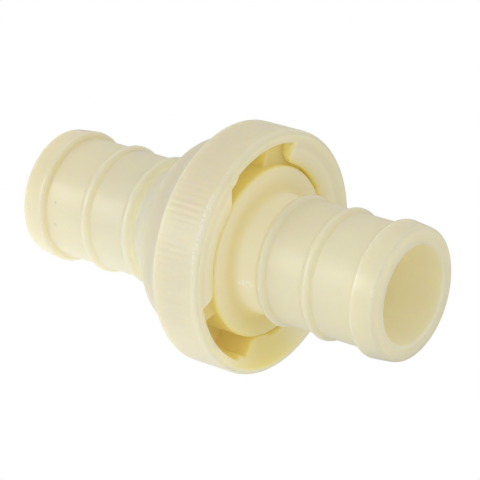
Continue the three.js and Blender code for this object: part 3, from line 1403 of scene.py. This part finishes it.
@dataclass
class ValveCartridge:
    """The moving valve with its seal, retainer, screw and clip, and the guide and spring."""

    seal_front: float
    around: int = 96
    seal_r: float = 11.6
    seal_thickness: float = 1.5
    disc_r: float = 11.4
    stem_r: float = 1.5
    stem_end: float = -23.5
    retainer_r: float = 8.3
    screw_head_r: float = 2.6
    clip_front: float = -20.9
    clip_thickness: float = 0.6
    clip_r: float = 3.1
    cup_floor: float = -19.5
    cup_back: float = -20.3
    cup_radii: Span = (3.9, 4.7)
    guide_front: float = -12.65
    guide_back: float = -14.3
    guide_radii: Span = (8.7, 10.05)
    arm_reach: Span = (4.4, 9.2)
    arm_half_width: float = 0.9
    spring_r: float = 3.15
    spring_wire: float = 0.25
    spring_turns: float = 6.5
    gap: float = 0.3
    screw_r: float = 1.25
    screw_socket: float = 0.85
    anchor: Place = (-0.0195, 0.0, 0.0)

    @property
    def disc_front(self) -> float:
        """The front face of the valve disc, behind its seal."""
        return self.seal_front - self.seal_thickness - self.gap

    @property
    def disc_back(self) -> float:
        """The back of the disc's hub, where the spring pushes."""
        return self.disc_front - 2.9

    def poppet(self) -> bpy.types.Object:
        """The valve disc and its stem, with the blind hole for the screw.

        Returns:
            The piece.
        """
        groove = (self.clip_front + 0.1, self.clip_front - self.clip_thickness - 0.1)
        outside = [
            (-8.7, 0.0),
            (-8.1, 1.35),
            (self.seal_front, 1.35),
            (self.seal_front, 3.0),
            (self.disc_front, 3.0),
            (self.disc_front, self.disc_r),
            (self.disc_front - 1.5, self.disc_r),
            (self.disc_back, 6.0),
            (self.disc_back, 2.4),
            (self.disc_back - 1.2, 2.2),
            (self.disc_back - 1.2, self.stem_r),
            (groove[0], self.stem_r),
            (groove[0], 1.05),
            (groove[1], 1.05),
            (groove[1], self.stem_r),
            (self.stem_end + 0.5, self.stem_r),
            (self.stem_end, self.stem_r - 0.5),
            (self.stem_end, 0.0),
        ]
        return self.lathe("poppet_moulded", eased(outside, 0.15, 2))

    def seal(self) -> bpy.types.Object:
        """The flat rubber seal.

        Returns:
            The piece.
        """
        back = self.seal_front - self.seal_thickness
        front, hole_r = self.seal_front, 3.2
        outside = [(front, hole_r), (front, self.seal_r), (back, self.seal_r), (back, hole_r)]
        return self.lathe("poppet_seal_moulded", eased(outside, 0.3, 3, closed=True))

    def retainer(self) -> bpy.types.Object:
        """The dished washer that holds the seal.

        Returns:
            The piece.
        """
        back = self.seal_front + self.gap
        front = back + 1.3
        outside = [
            (back, 1.7),
            (front, 1.7),
            (front, 5.4),
            (front - 0.25, 6.3),
            (back + 0.45, self.retainer_r),
            (back, self.retainer_r),
        ]
        return self.lathe("seal_retainer_moulded", eased(outside, 0.22, 3, closed=True))

    def lathe(self, name: str, outline: Outline) -> bpy.types.Object:
        """A turned piece.

        Args:
            name: Its name.
            outline: Points of (x, radius), which start and end on the axis or else close.

        Returns:
            The piece.
        """
        skin = Skin()
        ends_on_axis = outline[0][1] == 0
        skin.chain(skin.turned(outline, even(self.around)), closed=not ends_on_axis)
        return skin.piece(name)

    def screw(self) -> bpy.types.Object:
        """The pan-head screw, with a six-sided socket in its head.

        Returns:
            The piece.
        """
        angles = even(72)
        skin = Skin()
        back = self.seal_front + self.gap + 1.4
        outside = [(-8.6, 0.0), (-8.0, self.screw_r), (back, self.screw_r), (back, self.screw_head_r)]
        outside += [(back + 0.65, self.screw_head_r - 0.3), (back + 1.3, 1.3)]
        rings = skin.turned(eased(outside, 0.2, 3), angles)
        across = self.screw_socket / np.cos(np.radians((angles % 60) - 30))
        socket = [(1.28, across + 0.08), (1.2, across), (0.35, across), (0.1, 0.0)]
        rings += skin.turned([(back + depth, radius) for depth, radius in socket], angles)
        skin.chain(rings)
        return skin.piece("retainer_screw_moulded")

    def spring(self) -> bpy.types.Object:
        """The compression spring, with a closed turn at each end.

        Returns:
            The piece.
        """
        start = self.disc_back - self.spring_wire - 0.1
        end = self.cup_floor + self.spring_wire + 0.1
        flat = (2 * self.spring_wire + 0.08) / (start - end)
        dead = 1 / self.spring_turns
        shares = np.linspace(0, 1, 260)
        reach = np.interp(shares, [0, dead, 1 - dead, 1], [0, flat, 1 - flat, 1])
        turn = 2 * np.pi * self.spring_turns * shares
        centres = np.stack(
            [start + (end - start) * reach, self.spring_r * np.cos(turn), self.spring_r * np.sin(turn)],
            axis=1,
        )
        out = np.stack([0 * turn, np.cos(turn), np.sin(turn)], axis=1)
        side = np.cross(np.gradient(centres, axis=0), out)
        side /= np.linalg.norm(side, axis=1, keepdims=True)
        round_wire = np.linspace(0, 2 * np.pi, 12, endpoint=False)
        skin = Skin()
        skin.swept(
            [
                centre
                + self.spring_wire * (np.outer(np.cos(round_wire), o) + np.outer(np.sin(round_wire), s))
                for centre, o, s in zip(centres, out, side)
            ]
        )
        return skin.piece("return_spring_moulded")

    def clip(self) -> bpy.types.Object:
        """The E-clip: an open washer whose three teeth grip the stem's groove.

        Returns:
            The piece.
        """
        back = self.clip_front - self.clip_thickness
        sections = []
        for angle in np.linspace(25, 335, 110):
            tooth = max(math.exp(-(((angle - middle) / 16) ** 4)) for middle in (40, 180, 320))
            inner = 1.95 - 0.8 * tooth
            corners = [(back, inner), (self.clip_front, inner)]
            corners += [(self.clip_front, self.clip_r), (back, self.clip_r)]
            outline = eased(corners, 0.08, 2, closed=True)
            sections.append(self.section([(x, 0.0, radius) for x, radius in outline], angle))
        skin = Skin()
        skin.swept(sections)
        return skin.piece("stem_clip_moulded")

    @staticmethod
    def section(corners: Sequence[Place], angle: float) -> np.ndarray:
        """The corners of a bar's section, swung to an angle round the axis.

        Args:
            corners: Points of (x, distance to the side, radius).
            angle: The angle.

        Returns:
            The corners, one row each.
        """
        turn = math.radians(angle)
        sine, cosine = math.sin(turn), math.cos(turn)
        return np.array(
            [
                (x, across * cosine - radius * sine, across * sine + radius * cosine)
                for x, across, radius in corners
            ]
        )

    def guide(self) -> bpy.types.Object:
        """The three-armed guide that centres the stem and holds the spring's far end.

        Returns:
            The piece.
        """
        front, back = self.guide_front, self.guide_back
        inner, outer = self.guide_radii
        ring = self.lathe("guide_ring", [(front, inner), (front, outer), (back, outer), (back, inner)])
        inner, outer = self.cup_radii
        hole_r = self.stem_r + 0.25
        cup = [(front, inner), (front, outer), (self.cup_back, outer), (self.cup_back, hole_r)]
        cup += [(self.cup_floor, hole_r), (self.cup_floor, inner)]
        parts = [ring, self.lathe("guide_cup", cup)]
        half = self.arm_half_width
        for i in range(3):
            skin = Skin()
            flat = [(back, -half), (front, -half), (front, half), (back, half)]
            ends = [[(x, across, radius) for x, across in flat] for radius in self.arm_reach]
            skin.swept([self.section(end, i * PITCH) for end in ends])
            parts.append(skin.piece(f"guide_arm_{i}"))
        for other in parts[1:]:
            union = ring.modifiers.new(other.name, "BOOLEAN")
            union.operation = "UNION"
            union.solver = "EXACT"
            union.object = other
        softened = ring.modifiers.new("edges", "BEVEL")
        softened.width = 0.15 * MM
        softened.segments = 2
        softened.limit_method = "ANGLE"
        softened.angle_limit = math.radians(50)
        graph = bpy.context.evaluated_depsgraph_get()
        mesh = bpy.data.meshes.new_from_object(ring.evaluated_get(graph))
        for part in parts:
            bpy.data.objects.remove(part)
        mesh.name = "stem_guide_moulded"
        return stand("stem_guide_moulded", mesh)


# Studio


@dataclass(frozen=True)
class Softbox:
    """A rectangular soft light: where it stands, its size in metres and its power in watts.

    One that is gloss_only shows in reflections and adds nothing to the light on matt surfaces.
    """

    name: str
    place: Place
    width: float
    height: float
    power: float
    gloss_only: bool = False

    def build(self) -> None:
        """Puts the light in the scene, facing the fitting."""
        light = bpy.data.lights.new(self.name, "AREA")
        light.shape = "RECTANGLE"
        light.size, light.size_y = self.width, self.height
        light.energy = self.power
        lamp = bpy.data.objects.new(self.name, light)
        lamp.visible_diffuse = not self.gloss_only
        lamp.location = self.place
        lamp.rotation_euler = (-Vector(self.place)).to_track_quat("-Z", "Y").to_euler()
        bpy.context.scene.collection.objects.link(lamp)


@dataclass
class Studio:
    """The pale floor, the lights and the camera."""

    floor_height: float
    azimuth: float = 37.589
    elevation: float = 21.119
    roll: float = 1.157
    distance: float = 0.4976
    target: Place = (0.00477, 0.0, 0.0)
    lens: float = 196.04
    shift: tuple[float, float] = (-0.0229, 0.0137)
    floor_reach: float = 3.0
    table: float = 1.04
    shaded_side: Place = (0.6, 0.8, 0.0)
    shade_span: Span = (-0.03, 0.04)
    shade_loss: float = 0.62
    dim_light: Colour = (0.69, 0.67, 0.645)
    full_light: Colour = (0.82, 0.82, 0.88)
    bright_side: Place = (0.25, -0.45, -0.86)
    softboxes: tuple[Softbox, ...] = (
        Softbox("key_softbox", (-0.56, -0.84, 0.30), 0.34, 0.62, 1.1),
        Softbox("glint_strip", (-0.52, -0.80, 0.30), 0.5, 0.4, 2.4, gloss_only=True),
        Softbox("top_softbox", (-0.5, 0.2, 1.0), 0.8, 0.8, 0.5),
    )

    def camera(self) -> None:
        """A long lens, seen from the front right and a little above."""
        turn, rise, tilt = (math.radians(a) for a in (self.azimuth, self.elevation, self.roll))
        back = Vector(
            (math.cos(rise) * math.sin(turn), -math.cos(rise) * math.cos(turn), math.sin(rise))
        )
        right = Vector((0, 0, 1)).cross(back).normalized()
        up = back.cross(right)
        across = math.cos(tilt) * right + math.sin(tilt) * up
        upright = -math.sin(tilt) * right + math.cos(tilt) * up
        data = bpy.data.cameras.new("camera")
        data.lens = self.lens
        data.shift_x, data.shift_y = self.shift
        data.clip_start = 0.01
        camera = bpy.data.objects.new("camera", data)
        place = Vector(self.target) + self.distance * back
        rows = zip(across, upright, back, place)
        camera.matrix_world = Matrix([*(tuple(row) for row in rows), (0, 0, 0, 1)])
        bpy.context.scene.collection.objects.link(camera)
        bpy.context.scene.camera = camera

    def surroundings(self) -> None:
        """A tent that is seen as white, and gives a softer light that is graded across it."""
        world = bpy.data.worlds.new("tent")
        world.use_nodes = True
        wiring = Wiring(world.node_tree)
        world.node_tree.nodes.clear()
        seen = wiring.node("Background", {"Color": (1, 1, 1, 1), "Strength": 1.0})
        way = wiring.node("TexCoord").outputs["Generated"]
        facing = wiring.vector("DOT_PRODUCT", way, self.bright_side)
        share = wiring.math("MULTIPLY_ADD", facing, 0.5, 0.5)
        light = wiring.mixed(share, self.dim_light, self.full_light)
        shed = wiring.node("Background", {"Color": light, "Strength": 1.0})
        wiring.node("OutputWorld", {0: wiring.seen_or_lit(seen, shed)})
        bpy.context.scene.world = world

    def floor(self) -> None:
        """A pale sheet under the fitting, lit from below as a light table is.

        It is seen as white, and the light that it gives falls off towards its shaded side.
        """
        mesh = bpy.data.meshes.new("pale_floor")
        reach = self.floor_reach
        corners = [(-reach, -reach), (reach, -reach), (reach, reach), (-reach, reach)]
        mesh.from_pydata([(x, y, self.floor_height) for x, y in corners], [], [(0, 1, 2, 3)])
        floor = bpy.data.objects.new("pale_floor", mesh)
        bpy.context.scene.collection.objects.link(floor)
        material = bpy.data.materials.new("light_table")
        material.use_nodes = True
        material.node_tree.nodes.clear()
        wiring = Wiring(material.node_tree)
        seen = wiring.node("Emission", {"Color": (1, 1, 1, 1), "Strength": 1.0})
        place = wiring.node("NewGeometry").outputs["Position"]
        along = wiring.vector("DOT_PRODUCT", place, self.shaded_side)
        shaded = wiring.between(along, *self.shade_span)
        level = wiring.math("MULTIPLY_ADD", shaded, -self.shade_loss, self.table)
        shed = wiring.node("Emission", {"Color": (1, 1, 1, 1), "Strength": level})
        wiring.node("OutputMaterial", {0: wiring.seen_or_lit(seen, shed)})
        mesh.materials.append(material)

    def build(self) -> None:
        """Sets up the whole studio."""
        self.camera()
        self.surroundings()
        self.floor()
        for softbox in self.softboxes:
            softbox.build()
        bpy.context.scene.view_settings.view_transform = "Standard"


CREAM = Moulding(
    name="cream_acetal",
    colour=(0.825, 0.766, 0.56),
    # The next four colours are painted: two shade tones for recesses and two glow colours for their
    # emission.
    warm=(0.80, 0.70, 0.31),
    deep=(0.75, 0.64, 0.28),
    glow=(0.14, 0.132, 0.10),
    deep_painted_glow=(0.11, 0.093, 0.026),
    scuffs=(
        Scuff((0.0123, -0.0114, -0.0021), (0.0022, 0.003, 0.0011), 0.53),
        Scuff((0.0092, -0.0187, 0.0144), (0.0004, 0.0036, 0.0036), 0.53, 2900.0),
        Scuff((0.0094, -0.0212, 0.0105), (0.0004, 0.003, 0.003), 0.53, 2900.0),
        Scuff((0.0093, -0.0231, 0.0045), (0.00035, 0.004, 0.004), 0.49, 2900.0),
        Scuff((0.0093, -0.013, 0.0196), (0.00035, 0.004, 0.004), 0.47, 2900.0),
    ),
)
WHITE = Moulding(
    name="white_acetal",
    colour=(0.82, 0.81, 0.76),
    # The next two colours are painted shade tones for recesses.
    warm=(0.80, 0.78, 0.70),
    deep=(0.70, 0.66, 0.55),
    translucency=0.3,
    speck_share=0.02,
)
RUBBER = PlainFinish(
    name="nitrile_rubber",
    colour=(0.018, 0.018, 0.019),
    other_colour=(0.05, 0.05, 0.052),
    mottle={"Scale": 260.0, "Stretch": 1.0},
    grain={"Ripple Scale": 1800.0, "Mark Scale": 900.0, "Marks": 0.1},
    relief={"Strength": 0.35, "Distance": 0.00008},
    roughness=0.55,
    roughness_spread=0.16,
)
STEEL = PlainFinish(
    name="drawn_stainless",
    colour=(0.62, 0.62, 0.6),
    other_colour=(0.45, 0.45, 0.44),
    mottle={"Scale": 500.0, "Stretch": 0.2},
    grain={"Ripple Scale": 2500.0, "Mark Scale": 5000.0, "Marks": 1.0},
    relief={"Strength": 0.2, "Distance": 0.00003},
    roughness=0.24,
    roughness_spread=0.14,
    metallic=1.0,
)


def main() -> None:
    """Builds the fitting and its studio."""
    logging.basicConfig(level=logging.INFO, format="%(name)s: %(message)s")
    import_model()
    low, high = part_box("outlet_body")
    inlet_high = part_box("inlet_body")[1]
    seal_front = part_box("poppet_seal")[1].x / MM
    tail = HoseTail(half_length=-low.x / MM)
    Studio(floor_height=low.z).build()
    effects = Effects()
    cream, white = CREAM.build(effects), WHITE.build(effects)
    rubber, steel = RUBBER.build(effects), STEEL.build(effects)
    outlet = OutletHalf(tail, collar_r=high.z / MM, collar_front=high.x / MM)
    fit(outlet.build(), Body.OUTLET, cream)
    inlet = InletHalf(HoseTail(half_length=inlet_high.x / MM))
    fit(inlet.build(), Body.INLET, cream)
    fit(JointSeal().build(), Body.INLET, rubber)
    valve = ValveCartridge(seal_front)
    fit(valve.poppet(), Body.VALVE, white)
    fit(valve.seal(), Body.VALVE, rubber)
    fit(valve.retainer(), Body.VALVE, white)
    fit(valve.screw(), Body.VALVE, steel)
    fit(valve.clip(), Body.VALVE, steel)
    fit(valve.guide(), Body.OUTLET, white)
    spring = valve.spring()
    fit(spring, Body.OUTLET, steel)
    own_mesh(spring)


if __name__ == "__main__":
    main()
